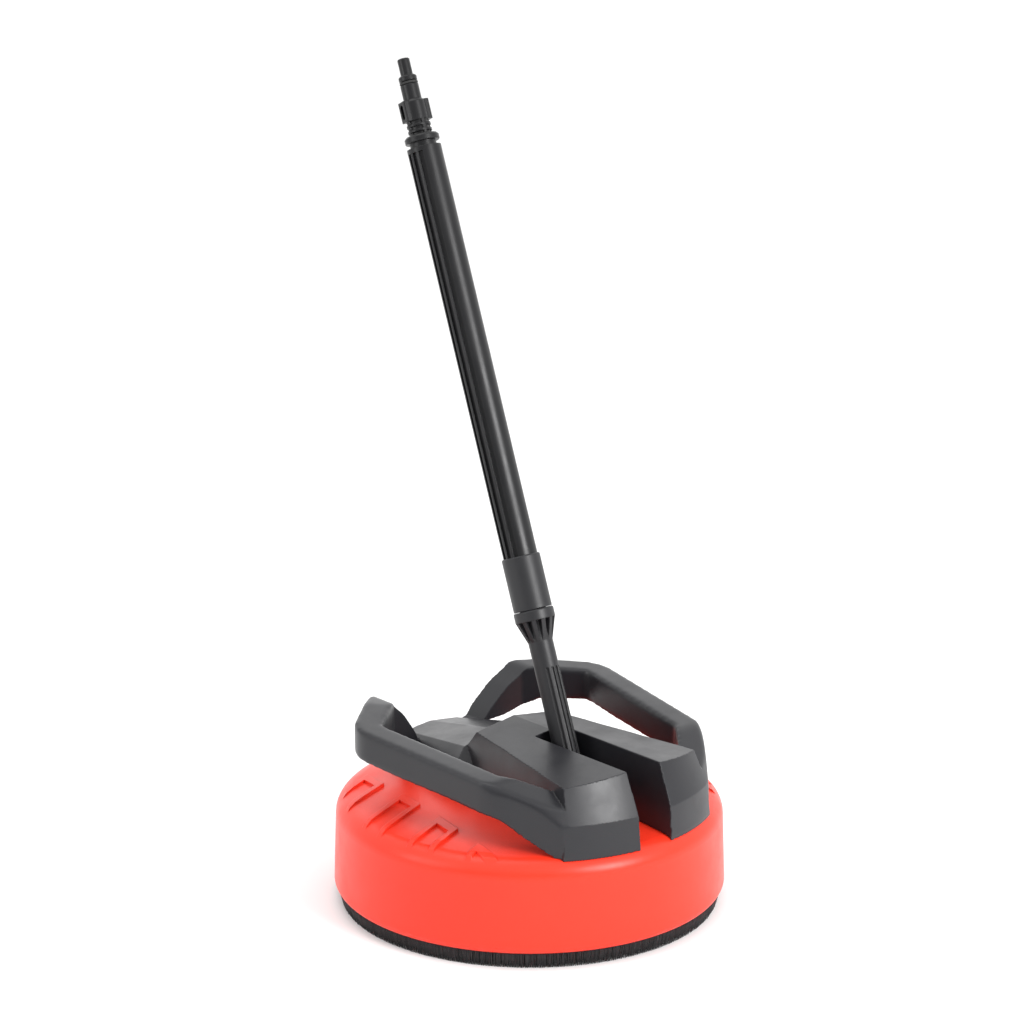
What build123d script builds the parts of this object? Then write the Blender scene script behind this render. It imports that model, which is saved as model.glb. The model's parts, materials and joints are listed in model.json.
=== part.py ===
"""Surface cleaner for a pressure washer: hood, cover, spinning spray arm and tilting lance.

Millimetres, +Z up. The origin is on the floor on the rotor's axis, and the user stands at -Y.
"""
from build123d import *
import math
import os

os.makedirs("parts", exist_ok=True)

# ---------------------------------------------------------------- driving dimensions
# Hood: a turned shell with a domed top, drafted wall and rounded foot
HOOD_R = 145.0
HOOD_SHOULDER_R = 142.6
HOOD_FOOT_Z = 11.2
HOOD_SHOULDER_Z = 78.6
HOOD_CROWN_Z = 84.8
HOOD_SHOULDER_ROUND = 14.0
HOOD_FOOT_ROUND = 5.0
HOOD_WALL = 3.2
HOOD_BORE_R = 18.6

# Raised U ribs on each flank of the hood
RIB_COUNT = 4
RIB_FIRST_CORNER = (-84.0, 91.0)
RIB_PITCH = 54.6
RIB_RECESS_W = 16.0
RIB_LIMB_W = 5.0
RIB_END_W = 9.0
RIB_RUN = 60.0
RIB_DIR = (0.9354, 0.3536)
ROW_DIR = (0.1548, 0.9879)

# Brush skirt
BRUSH_OUT_R = 140.8
BRUSH_TIP_R = 138.6
BRUSH_TAPER_Z = 3.5
BRUSH_IN_R = 130.5
BRUSH_TOP_Z = 17.9
LIP_IN_R = 142.0
CARRIER_Z = 12.6
CARRIER_OUT_R = 141.8
CARRIER_TOP_Z = 22.0
CARRIER_POST_R = 121.0
CARRIER_POSTS = 6

# Cover: hump with two legs, rear deck
COVER_WALL = 3.0
COVER_BASE_Z = 72.0
COVER_GAP = 0.2
HUMP_DRAFT = 7.4
HUMP_HALF_W = 47.5
HUMP_FLARE = 0.195
GABLE_Z = 133.4
GABLE_FALL = 0.108
SLOT_END_Y = -24.5
DECK_HALF_W = 50.0

# Hand loops: upright band along a plan path, cut by side and rear profiles
LOOP_W = 20.5
BAR_X = 114.0
BAR_UNDER_DIR = (1, 0, 0.07)
LOOP_WALL = 3.0
LOOP_CORNER_R = 28.0

# Lance
PIVOT_Y = -50.4
PIVOT_Z = 97.0
LANCE_LEAN = 20.85
KNUCKLE_R = 12.0
KNUCKLE_HALF_W = 13.5
PIPE_R = 9.1
FLANGE_R = 14.8
COLLAR_R = 14.2
TUBE_R = 12.75
TUBE_BORE_R = 9.5
TUBE_END_S = 477.0
BARREL_R = 6.75
TIP_R = 4.55
TIP_END_S = 543.7
WATERWAY_R = 3.0
FLUTE_ANGLES = (-37.5, -12.5, 12.5, 37.5)

# Lance stations, measured from the pivot along the lance
CONE_END_S = 123.4
FLANGE_END_S = 131.0
COLLAR_END_S = 171.0
PLUG_END_R = 9.8
PLUG_END_S = 148.0
SPIGOT_R = 6.5
SPIGOT_END_S = 166.0
SPIGOT_RING_S = (154.0, 160.0)
RING_FLOOR_R = 4.6
GUSSET_COUNT = 12
LUG_W = 8.0
LUG_R = 11.7
LUG_S = (140.2, 146.2)
TWIST_DEG = 60.0
TUBE_START_S = 151.0
FLUTE_S = (168.0, 473.5)
FLUTE_W = 3.3
FLUTE_DEPTH = 2.0
INNER_R = 5.5
INNER_BORE_R = 3.5
INNER_END_S = 475.0
LUG_BLOCK_S = (497.0, 512.0)
LUG_SPAN = 21.0
LUG_THICK = 10.0
LUG_TURN = -10.0
BARREL_END_S = 531.0
INLET_RING_S = 525.5
INLET_RING_FLOOR_R = 4.7
INLET_BORE_R = 2.5

# Fork and trunnions
TRUNNION_R = 7.0
TRUNNION_BORE_R = 2.5
TRUNNION_RING_X = (-20.0, -27.2)
STUD_R = 5.9
STUD_IN_X = 3.5
FORK_IN_X = 18.5
FORK_OUT_X = 30.0
FORK_BOSS_R = 12.0

# Manifold
PASSAGE_X = -23.5
PASSAGE_R = 2.6
GROOVE_R = 8.6
PLUG_R = 4.0
PLUG_L = 4.5
MANIFOLD_FOOT_Z = 84.9
MANIFOLD_TOP_Z = 109.0
SEAL_R = 10.0
SEAL_SEAT_Z = 70.0
SEAL_TOP_Z = 80.0

# Rotor
SHAFT_R = 6.0
SHAFT_TOP_Z = 84.0
HOUSING_R = 18.0
RETAINER_Z = 42.0
RETAINER_BORE_R = 11.8
RETAINER_SCREW_R = 0.9
CLIP_Z = 70.2
CLIP_H = 1.2
CLIP_IN_R = 5.3
HUB_STUD_R = 5.0
HUB_NUT_Z = 15.5
BEARING_OUT_R = 14.0
BEARING_H = 8.0
BALL_R = 2.38
BALL_PITCH_R = 10.0
BALL_COUNT = 8
BEARING_Z = (46.0, 62.0)
HUB_Z = 22.0
HUB_H = 14.0
HUB_R = 16.0
ARM_Z = 30.0
ARM_R = 5.0
ARM_BORE_R = 2.5
ARM_END_X = 99.0
NOZZLE_X = 100.0
NOZZLE_TILT = 20.0

RUN_FIT = 0.06

# ---------------------------------------------------------------- lance frame
lean = math.radians(LANCE_LEAN)
LANCE_DIR = (0.0, math.sin(lean), math.cos(lean))
PIVOT = (0.0, PIVOT_Y, PIVOT_Z)
LANCE = Plane(origin=PIVOT, x_dir=(1, 0, 0), z_dir=LANCE_DIR)
LANCE_SECTION = Plane(origin=PIVOT, x_dir=(1, 0, 0), z_dir=(0, -LANCE_DIR[2], LANCE_DIR[1]))
LANCE_AXIS = Axis(PIVOT, LANCE_DIR)


# ---------------------------------------------------------------- shared shapes
def outline(points, plane):
    """Face with the given corners on the plane."""
    with BuildSketch(plane) as sketch:
        Polygon(*points)
    return sketch.sketch


def disc_ring(outer_r, inner_r, z_low, z_high):
    """Upright ring on the rotor's axis, or a disc where inner_r is zero."""
    with BuildPart() as ring:
        with BuildSketch(Plane.XY.offset(z_low)):
            Circle(outer_r)
            if inner_r > 0:
                Circle(inner_r, mode=Mode.SUBTRACT)
        extrude(amount=z_high - z_low)
    return ring.part


def pins(places, radius, z_low, z_high):
    """Upright round pins at the given places."""
    with BuildPart() as group:
        with BuildSketch(Plane.XY.offset(z_low)):
            with Locations(*places):
                Circle(radius)
        extrude(amount=z_high - z_low)
    return group.part


def rod(plane, radius, length):
    """Round rod that starts on the plane and runs along its normal."""
    with BuildPart() as solid:
        with BuildSketch(plane):
            Circle(radius)
        extrude(amount=length)
    return solid.part


def cross_rod(x_low, x_high, radius, y=PIVOT_Y, z=PIVOT_Z):
    """Round rod along X."""
    return rod(Plane(origin=(x_low, y, z), x_dir=(0, 1, 0), z_dir=(1, 0, 0)), radius, x_high - x_low)


def screws_up(places, head_z, shank_r, length):
    """Pan-head screws that point up from head_z, with a cross recess in each head."""
    head_r = shank_r * 1.9
    head_h = shank_r * 1.3
    with BuildPart() as group:
        with BuildSketch(Plane.XY.offset(head_z - head_h)):
            with Locations(*places):
                Circle(head_r)
        extrude(amount=head_h)
        fillet(group.edges().group_by(Axis.Z)[0], head_h * 0.4)
        with BuildSketch(Plane.XY.offset(head_z)):
            with Locations(*places):
                Circle(shank_r)
        extrude(amount=length)
        with BuildSketch(Plane.XY.offset(head_z - head_h)):
            with Locations(*places):
                Rectangle(head_r * 1.1, head_r * 0.25)
                Rectangle(head_r * 0.25, head_r * 1.1)
        extrude(amount=head_h * 0.6, mode=Mode.SUBTRACT)
    return group.part


def mirrored_places(places):
    """The places and their mirror images about the YZ plane."""
    return list(places) + [(-x, y) for x, y in places]


# ---------------------------------------------------------------- hood
def hood_section(inset, foot_z):
    """Half section of the hood's outer form, drawn smaller by inset."""
    crown = (0, HOOD_CROWN_Z - inset)
    shoulder = (HOOD_SHOULDER_R - inset, HOOD_SHOULDER_Z - inset)
    drop = HOOD_CROWN_Z - HOOD_SHOULDER_Z
    middle = (shoulder[0] / 2, HOOD_CROWN_Z - inset - drop / 4)
    with BuildSketch(Plane.XZ) as section:
        with BuildLine():
            Polyline(crown, (0, foot_z), (HOOD_R - inset, foot_z), shoulder)
            ThreePointArc(shoulder, middle, crown)
        make_face()
        fillet(section.vertices().sort_by(Axis.X)[-2], HOOD_SHOULDER_ROUND - inset)
        if inset <= 0:
            fillet(section.vertices().sort_by(Axis.X)[-1], HOOD_FOOT_ROUND)
    return section.sketch


def dome(inset, foot_z=HOOD_FOOT_Z):
    """Solid dome bounded by the hood's outer form."""
    with BuildPart() as solid:
        revolve(hood_section(inset, foot_z), axis=Axis.Z)
    return solid.part


def rib_point(corner, inward, along):
    """Plan point from a recess corner: inward along the rib, along the row."""
    x = corner[0] + inward * RIB_DIR[0] + along * ROW_DIR[0]
    y = corner[1] + inward * RIB_DIR[1] + along * ROW_DIR[1]
    return (x, y)


def flank_ribs():
    """U ribs of both flanks, whose tops run out into the dome toward the rim."""
    crest = [
        (78, 70), (78, 85.2), (104, 83.6), (124, 82.1), (131, 81.1),
        (135.5, 79.2), (139, 75.4), (140.6, 71.4), (140.6, 70),
    ]
    with BuildPart() as ribs:
        with BuildSketch(Plane.XY.offset(70)):
            for index in range(RIB_COUNT):
                corner = rib_point(RIB_FIRST_CORNER, 0, -index * RIB_PITCH)
                near = RIB_LIMB_W
                far = -RIB_RECESS_W - RIB_LIMB_W
                Polygon(
                    rib_point(corner, -RIB_RUN, near),
                    rib_point(corner, RIB_END_W, near),
                    rib_point(corner, RIB_END_W, far),
                    rib_point(corner, -RIB_RUN, far),
                    rib_point(corner, -RIB_RUN, -RIB_RECESS_W),
                    rib_point(corner, 0, -RIB_RECESS_W),
                    rib_point(corner, 0, 0),
                    rib_point(corner, -RIB_RUN, 0),
                )
        extrude(amount=20)
        mirror(about=Plane.YZ)
        revolve(outline(crest, Plane.XZ), axis=Axis.Z, mode=Mode.INTERSECT)
    return ribs.part


COVER_SCREWS = mirrored_places([(42.0, -88.0), (37.0, 2.0), (14.0, 84.0)])
MANIFOLD_SCREWS = mirrored_places([(24.0, 11.0), (24.5, -30.0)])
MANIFOLD_SCREW_R = 2.5
COVER_SCREW_R = 2.0
HOOD_UNDER_Z = 73.0
post_step = 360 / CARRIER_POSTS
CARRIER_SCREWS = [
    (
        CARRIER_POST_R * math.cos(math.radians(post_step * (k + 0.5))),
        CARRIER_POST_R * math.sin(math.radians(post_step * (k + 0.5))),
    )
    for k in range(CARRIER_POSTS)
]
RETAINER_SCREWS = [
    (16.0 * math.cos(math.radians(angle)), 16.0 * math.sin(math.radians(angle)))
    for angle in (30, 150, 270)
]

under_rib = outline([(48, 73), (117, 69), (117, 78.2), (48, 81.7)], Plane.XZ)

with BuildPart() as hood_bosses:
    with BuildSketch(Plane.XY.offset(HOOD_UNDER_Z)):
        Circle(HOOD_BORE_R + 3.5)
        with Locations(*COVER_SCREWS):
            Circle(5.5)
        with Locations(*MANIFOLD_SCREWS):
            Circle(6.0)
    extrude(amount=15)
    add(pins(CARRIER_SCREWS, 4.5, CARRIER_TOP_Z + 0.1, 88))
    with BuildPart(mode=Mode.PRIVATE) as stiffener:
        extrude(under_rib, amount=1.0, both=True)
    for k in range(2 * CARRIER_POSTS):
        add(stiffener.part.rotate(Axis.Z, post_step * (2 * k + 1) / 4))
    add(dome(1.0, foot_z=0), mode=Mode.INTERSECT)

with BuildPart() as hood:
    add(dome(0))
    add(flank_ribs())
    add(dome(HOOD_WALL, foot_z=CARRIER_TOP_Z), mode=Mode.SUBTRACT)
    with BuildSketch(Plane.XY):
        Circle(LIP_IN_R)
    extrude(amount=CARRIER_TOP_Z + 1, mode=Mode.SUBTRACT)
    add(hood_bosses.part)
    with BuildSketch(Plane.XY.offset(HOOD_UNDER_Z - 1)):
        Circle(HOOD_BORE_R)
        with Locations(*COVER_SCREWS):
            Circle(COVER_SCREW_R + 0.2)
        with Locations(*MANIFOLD_SCREWS):
            Circle(MANIFOLD_SCREW_R + 0.2)
    extrude(amount=20, mode=Mode.SUBTRACT)
    with BuildSketch(Plane.XY.offset(CARRIER_TOP_Z)):
        with Locations(*CARRIER_SCREWS):
            Circle(1.75)
    extrude(amount=16, mode=Mode.SUBTRACT)
hood.part.label = "hood"
export_step(hood.part, "parts/hood.step")

# ---------------------------------------------------------------- brush skirt
with BuildPart() as brush_carrier:
    with BuildSketch(Plane.XY.offset(CARRIER_Z)):
        Circle(CARRIER_OUT_R)
        Circle(BRUSH_IN_R - 3.0, mode=Mode.SUBTRACT)
    extrude(amount=CARRIER_TOP_Z - CARRIER_Z)
    with BuildSketch(Plane.XY.offset(CARRIER_TOP_Z - 4)):
        with Locations(*CARRIER_SCREWS):
            Circle(6.0)
        with PolarLocations(CARRIER_POST_R + 4.5, CARRIER_POSTS, start_angle=post_step / 2):
            Rectangle(9.0, 9.0)
    extrude(amount=4)
    with BuildSketch(Plane.XY.offset(CARRIER_Z)):
        Circle(BRUSH_OUT_R + 0.1)
        Circle(BRUSH_IN_R - 0.1, mode=Mode.SUBTRACT)
    extrude(amount=BRUSH_TOP_Z + 0.1 - CARRIER_Z, mode=Mode.SUBTRACT)
    with BuildSketch(Plane.XY.offset(CARRIER_Z)):
        with Locations(*CARRIER_SCREWS):
            Circle(2.0)
    extrude(amount=12, mode=Mode.SUBTRACT)
brush_carrier.part.label = "brush_carrier"
export_step(brush_carrier.part, "parts/brush_carrier.step")

brush_section = outline(
    [
        (BRUSH_IN_R, 0),
        (BRUSH_TIP_R, 0),
        (BRUSH_OUT_R, BRUSH_TAPER_Z),
        (BRUSH_OUT_R, BRUSH_TOP_Z),
        (BRUSH_IN_R, BRUSH_TOP_Z),
    ],
    Plane.XZ,
)

with BuildPart() as brush_bristles:
    revolve(brush_section, axis=Axis.Z)
brush_bristles.part.label = "brush_bristles"
export_step(brush_bristles.part, "parts/brush_bristles.step")

with BuildPart() as carrier_screws:
    add(screws_up(CARRIER_SCREWS, CARRIER_TOP_Z - 4, 1.7, 18))
carrier_screws.part.label = "carrier_screws"
export_step(carrier_screws.part, "parts/carrier_screws.step")


# ---------------------------------------------------------------- cover
def facet(point, normal, inset):
    """Plane of a flat facet, moved inward by inset."""
    length = math.sqrt(sum(n * n for n in normal))
    origin = tuple(p - inset * n / length for p, n in zip(point, normal))
    return Plane(origin=origin, z_dir=normal)


def hump(inset):
    """Hump with its two legs, without the slot, drawn smaller by inset."""
    front_y = -150.0
    rear_y = 45.0
    half_front = HUMP_HALF_W - HUMP_FLARE * front_y - inset
    half_rear = HUMP_HALF_W - HUMP_FLARE * rear_y - inset
    eave = GABLE_Z - GABLE_FALL * 90
    plan = [(-half_front, front_y), (half_front, front_y), (half_rear, rear_y), (-half_rear, rear_y)]
    roof = [(-90, 60), (90, 60), (90, eave - inset), (0, GABLE_Z - inset), (-90, eave - inset)]
    nose = [(0, 60), (138, 60), (138, 80), (136, 102), (120.5, 140), (0, 140)]
    with BuildPart() as solid:
        extrude(outline(plan, Plane.XY.offset(79)), amount=62, taper=HUMP_DRAFT)
        extrude(outline(plan, Plane.XY.offset(COVER_BASE_Z)), amount=7)
        extrude(outline(roof, Plane.XZ), amount=170, both=True, mode=Mode.INTERSECT)
        revolve(outline([(max(r - inset, 0), z) for r, z in nose], Plane.XZ), mode=Mode.INTERSECT)
        for side in (1, -1):
            rear = facet((0, 18.8, 132.8), (side * 0.123, 0.745, 0.654), inset)
            split(bisect_by=rear, keep=Keep.BOTTOM)
    return solid.part


def deck(inset):
    """Low faceted deck behind the hump, drawn smaller by inset."""
    tail = [(0, 60), (137, 60), (118, 103), (112, 116), (105, 130), (0, 130)]
    with BuildPart() as solid:
        with BuildSketch(Plane.XY.offset(COVER_BASE_Z)):
            with Locations((0, 55)):
                Rectangle(2 * (DECK_HALF_W - inset), 160)
        extrude(amount=55)
        revolve(outline([(max(r - inset, 0), z) for r, z in tail], Plane.XZ), mode=Mode.INTERSECT)
        for side in (1, -1):
            top = facet((0, 30, 119), (side * 0.1, 0.182, 1.0), inset)
            split(bisect_by=top, keep=Keep.BOTTOM)
            flank = facet((side * 39.5, 27.5, 115.6), (side * 0.675, 0.227, 0.702), inset)
            split(bisect_by=flank, keep=Keep.BOTTOM)
            hip = facet((side * 39.5, 27.5, 115.6), (side * 0.35, -0.62, 0.7), inset)
            split(bisect_by=hip, keep=Keep.BOTTOM)
    return solid.part


def loop_plan(inset):
    """Plan of the right hand loop's band, drawn narrower by inset on each side."""
    path = [(10, 120.5), (73.2, 99.6), (121.2, 56), (103.5, -75), (58, -132.7)]
    with BuildSketch(Plane.XY) as whole:
        Polygon(*path, (-80, -132.7), (-80, 120.5))
        fillet(whole.vertices().filter_by_position(Axis.X, 60, 125), LOOP_CORNER_R)
        offset(amount=-inset)
    with BuildSketch(Plane.XY) as inner:
        add(whole.sketch)
        offset(amount=2 * inset - LOOP_W)
    with BuildSketch(Plane.XY) as band:
        add(whole.sketch)
        add(inner.sketch, mode=Mode.SUBTRACT)
        with Locations((-70, 0)):
            Rectangle(160, 400, mode=Mode.SUBTRACT)
        with Locations((0, 0)):
            Rectangle(80, 150, mode=Mode.SUBTRACT)
    return band.sketch


def loop_top_side(drop):
    """Region below the loop's top, seen from the side."""
    with BuildSketch(Plane.YZ) as region:
        with BuildLine():
            Polyline((-150, 60 - drop), (-150, 88 - drop), (-114, 112.8 - drop), (-76, 129.2 - drop))
            Line((-76, 129.2 - drop), (130, 147.4 - drop))
            Polyline((130, 147.4 - drop), (130, 60 - drop), (-150, 60 - drop))
        make_face()
        fillet(region.vertices().filter_by_position(Axis.X, -120, -70), 30)
    return region.sketch


def loop_top_rear(drop):
    """Region below the loop's top, seen from the rear."""
    rise = [(32, 102.3), (36, 109.8), (40.5, 115.6), (45, 121.2), (52, 129), (61, 136.5), (72, 142.5)]
    with BuildSketch(Plane.XZ) as region:
        with BuildLine():
            Polyline((10, 60 - drop), (10, 90 - drop), (32, 102.3 - drop))
            Spline([(x, z - drop) for x, z in rise], tangents=[(0.4, 0.9), (1, 0.05)])
            Polyline((72, 142.5 - drop), (140, 148 - drop), (140, 60 - drop), (10, 60 - drop))
        make_face()
    return region.sketch


def loop_under_side(rise):
    """Region below the loop's underside, seen from the side."""
    with BuildSketch(Plane.YZ.offset(BAR_X)) as region:
        with BuildLine():
            Polyline((-126, 60), (-126, 71.9 + rise), (-80, 105.4 + rise))
            Polyline((-80, 105.4 + rise), (-37, 109.7 + rise), (11, 112.8 + rise))
            Spline((11, 112.8 + rise), (50, 116.5 + rise), (80, 118.8 + rise), tangents=[(1, 0.1), (1, 0)])
            Polyline((80, 118.8 + rise), (130, 118.8 + rise), (130, 60), (-126, 60))
        make_face()
        fillet(region.vertices().filter_by_position(Axis.X, -82, -78), 25)
    return region.sketch


def loop_under_rear(rise):
    """Region below the loop's underside, seen from the rear."""
    arch = [(36, 102.0), (45, 104.2), (54, 107.4), (64, 112.0), (77, 117.2), (90, 119.2)]
    with BuildSketch(Plane.XZ) as region:
        with BuildLine():
            Spline([(x, z + rise) for x, z in arch], tangents=[(1, 0.5), (1, 0.05)])
            Polyline((90, 119.2 + rise), (150, 125 + rise), (150, 60), (36, 60), (36, 102 + rise))
        make_face()
    return region.sketch


def under_loop(rise):
    """Everything below the loop's underside."""
    with BuildPart() as solid:
        extrude(loop_under_side(rise), amount=BAR_X, both=True, dir=BAR_UNDER_DIR)
        extrude(loop_under_rear(rise), amount=160, both=True, mode=Mode.INTERSECT)
    return solid.part


def hand_loop():
    """Solid right hand loop, its front end trimmed by the round nose."""
    nose = [(0, 60), (138, 60), (138, 80), (136, 102), (120.5, 140), (120.5, 160), (0, 160)]
    with BuildPart() as solid:
        extrude(loop_plan(0), amount=160)
        extrude(loop_top_side(0), amount=160, mode=Mode.INTERSECT)
        extrude(loop_top_rear(0), amount=160, both=True, mode=Mode.INTERSECT)
        add(under_loop(0), mode=Mode.SUBTRACT)
        with BuildPart(mode=Mode.PRIVATE) as space:
            revolve(outline(nose, Plane.XZ))
            with Locations((70, 50, 100)):
                Box(160, 220, 120)
        add(space.part, mode=Mode.INTERSECT)
    return solid.part


def loop_cavity(wall, roof):
    """Hollow of the right hand loop, open below, between the deck and the leg."""
    with BuildPart() as solid:
        extrude(loop_plan(wall), amount=160)
        extrude(loop_top_side(roof), amount=160, mode=Mode.INTERSECT)
        extrude(loop_top_rear(roof), amount=160, both=True, mode=Mode.INTERSECT)
        with BuildSketch(Plane.XY):
            with Locations((110, 5)):
                Rectangle(110, 170)
        extrude(amount=160, mode=Mode.INTERSECT)
    return solid.part


LOOP_SCREWS = [(109.2, 38.0), (96.4, -52.0)]
LOOP_SCREW_R = 1.5
LOOP_SCREW_HEAD_Z = (117.0, 108.8)
INSERT_H = 3.0
INSERT_GAP = 0.15

loop_solid = hand_loop()

with BuildPart() as loop_hollow:
    add(loop_cavity(LOOP_WALL, LOOP_WALL))
    add(pins(LOOP_SCREWS, 3.5, 70, 160), mode=Mode.SUBTRACT)
    with BuildPart(mode=Mode.PRIVATE) as mouth:
        add(loop_cavity(LOOP_WALL, LOOP_WALL))
        add(under_loop(INSERT_H + 0.1), mode=Mode.INTERSECT)
    add(mouth.part)

with BuildPart() as slot:
    with BuildSketch(Plane.XZ.offset(-SLOT_END_Y)):
        Polygon((-14, 60), (14, 60), (15.8, 140), (-15.8, 140))
    extrude(amount=140)

with BuildPart() as slot_lining:
    with BuildSketch(Plane.XZ.offset(-SLOT_END_Y - COVER_WALL)):
        Polygon((-17.2, 60), (17.2, 60), (18.9, 140), (-18.9, 140))
    extrude(amount=140)

with BuildPart() as lance_rest:
    with BuildSketch(Plane.YZ):
        Polygon((-22, 98), (-36.4, 106.5), (-30.6, 122), (-22, 124))
    extrude(amount=6, both=True)

with BuildPart() as cover_core:
    add(hump(COVER_WALL))
    add(deck(COVER_WALL))
    add(pins(COVER_SCREWS, 5.0, 60, 140), mode=Mode.SUBTRACT)
    add(slot_lining.part, mode=Mode.SUBTRACT)

with BuildPart() as trunnion_windows:
    with BuildSketch(Plane.YZ):
        with Locations((PIVOT_Y, PIVOT_Z)):
            Circle(TRUNNION_R + 1)
        with Locations((PIVOT_Y, PIVOT_Z - 15)):
            Rectangle(2 * TRUNNION_R + 2, 30)
    extrude(amount=FORK_IN_X + 1, both=True)

with BuildPart() as top_cover:
    add(hump(0))
    add(deck(0))
    add(loop_solid)
    mirror(loop_solid, about=Plane.YZ)
    add(slot.part, mode=Mode.SUBTRACT)
    add(cover_core.part, mode=Mode.SUBTRACT)
    add(lance_rest.part)
    add(trunnion_windows.part, mode=Mode.SUBTRACT)
    add(loop_hollow.part, mode=Mode.SUBTRACT)
    mirror(loop_hollow.part, about=Plane.YZ, mode=Mode.SUBTRACT)
    add(dome(-COVER_GAP), mode=Mode.SUBTRACT)
    add(pins(COVER_SCREWS, COVER_SCREW_R + 0.05, 60, 100), mode=Mode.SUBTRACT)
    loop_pilots = mirrored_places(LOOP_SCREWS)
    add(pins(loop_pilots, LOOP_SCREW_R + 0.05, 90, 126), mode=Mode.SUBTRACT)
top_cover.part.label = "top_cover"
export_step(top_cover.part, "parts/top_cover.step")

with BuildPart() as handle_insert:
    add(loop_cavity(LOOP_WALL + INSERT_GAP, LOOP_WALL))
    add(under_loop(INSERT_H), mode=Mode.INTERSECT)
    add(under_loop(0), mode=Mode.SUBTRACT)
    add(pins(LOOP_SCREWS, LOOP_SCREW_R + 0.2, 90, 130), mode=Mode.SUBTRACT)
    for place, head_z in zip(LOOP_SCREWS, LOOP_SCREW_HEAD_Z):
        add(pins([place], 2 * LOOP_SCREW_R + 0.1, 90, head_z), mode=Mode.SUBTRACT)

for side, flip in (("right", False), ("left", True)):
    with BuildPart() as insert_side:
        if flip:
            mirror(handle_insert.part, about=Plane.YZ)
        else:
            add(handle_insert.part)
    insert_side.part.label = f"handle_insert_{side}"
    export_step(insert_side.part, f"parts/handle_insert_{side}.step")

with BuildPart() as cover_screws:
    add(screws_up(COVER_SCREWS, HOOD_UNDER_Z, COVER_SCREW_R, 22))
cover_screws.part.label = "cover_screws"
export_step(cover_screws.part, "parts/cover_screws.step")

with BuildPart() as handle_screws:
    for place, head_z in zip(LOOP_SCREWS, LOOP_SCREW_HEAD_Z):
        add(screws_up([place], head_z, LOOP_SCREW_R, 9))
    mirror(about=Plane.YZ)
handle_screws.part.label = "handle_screws"
export_step(handle_screws.part, "parts/handle_screws.step")


# ---------------------------------------------------------------- manifold
fork_arm = [
    (PIVOT_Y - FORK_BOSS_R, PIVOT_Z),
    (PIVOT_Y - FORK_BOSS_R, PIVOT_Z - FORK_BOSS_R),
    (-12, PIVOT_Z - FORK_BOSS_R),
    (-12, PIVOT_Z + 8),
    (PIVOT_Y, PIVOT_Z + 8),
]

with BuildPart() as manifold_body:
    for x in (-FORK_OUT_X, FORK_IN_X):
        with BuildSketch(Plane.YZ.offset(x)):
            Polygon(*fork_arm)
            with Locations((PIVOT_Y, PIVOT_Z)):
                Circle(FORK_BOSS_R)
        extrude(amount=FORK_OUT_X - FORK_IN_X)
    with BuildSketch(Plane.XY.offset(MANIFOLD_FOOT_Z)):
        with Locations((0, 1)):
            RectangleRounded(2 * FORK_OUT_X, 29, 4)
    extrude(amount=MANIFOLD_TOP_Z - MANIFOLD_FOOT_Z)
    fillet(manifold_body.edges().group_by(Axis.Z)[-1], 1.5)
    add(disc_ring(HOUSING_R, 0.5, RETAINER_Z, MANIFOLD_FOOT_Z))
    add(disc_ring(BEARING_OUT_R + 0.02, 0, RETAINER_Z - 1, SEAL_SEAT_Z), mode=Mode.SUBTRACT)
    add(disc_ring(SEAL_R, 0, SEAL_SEAT_Z - 1, SEAL_TOP_Z), mode=Mode.SUBTRACT)
    add(disc_ring(SHAFT_R + RUN_FIT, 0, SEAL_TOP_Z - 1, SHAFT_TOP_Z + 0.5), mode=Mode.SUBTRACT)
    add(disc_ring(WATERWAY_R, 0, SHAFT_TOP_Z, PIVOT_Z), mode=Mode.SUBTRACT)
    add(cross_rod(-FORK_OUT_X - 1, 0, WATERWAY_R, y=0), mode=Mode.SUBTRACT)
    add(cross_rod(-FORK_OUT_X - 1, -FORK_OUT_X + PLUG_L, PLUG_R + 0.02, y=0), mode=Mode.SUBTRACT)
    passage = Plane(origin=(PASSAGE_X, 0, PIVOT_Z), z_dir=(0, -1, 0))
    add(rod(passage, PASSAGE_R, -PIVOT_Y - TRUNNION_R), mode=Mode.SUBTRACT)
    add(cross_rod(-FORK_OUT_X - 1, FORK_OUT_X + 1, TRUNNION_R + RUN_FIT), mode=Mode.SUBTRACT)
    add(cross_rod(PASSAGE_X - 2, PASSAGE_X + 2, GROOVE_R), mode=Mode.SUBTRACT)
    add(pins(MANIFOLD_SCREWS, MANIFOLD_SCREW_R + 0.05, 80, 93), mode=Mode.SUBTRACT)
    add(pins(RETAINER_SCREWS, RETAINER_SCREW_R + 0.03, RETAINER_Z - 1, RETAINER_Z + 8), mode=Mode.SUBTRACT)
manifold_body.part.label = "manifold_body"
export_step(manifold_body.part, "parts/manifold_body.step")

with BuildPart() as manifold_plug:
    add(cross_rod(-FORK_OUT_X, -FORK_OUT_X + PLUG_L, PLUG_R, y=0))
    with BuildSketch(Plane.YZ.offset(-FORK_OUT_X)):
        with Locations((0, PIVOT_Z)):
            RegularPolygon(2.3, 6)
    extrude(amount=2.5, mode=Mode.SUBTRACT)
manifold_plug.part.label = "manifold_plug"
export_step(manifold_plug.part, "parts/manifold_plug.step")

with BuildPart() as manifold_screws:
    add(screws_up(MANIFOLD_SCREWS, HOOD_UNDER_Z, MANIFOLD_SCREW_R, 19))
manifold_screws.part.label = "manifold_screws"
export_step(manifold_screws.part, "parts/manifold_screws.step")

with BuildPart() as shaft_seal:
    add(disc_ring(SEAL_R - 0.05, SHAFT_R + RUN_FIT, SEAL_TOP_Z - 5, SEAL_TOP_Z - 0.1))
shaft_seal.part.label = "shaft_seal"
export_step(shaft_seal.part, "parts/shaft_seal.step")

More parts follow.
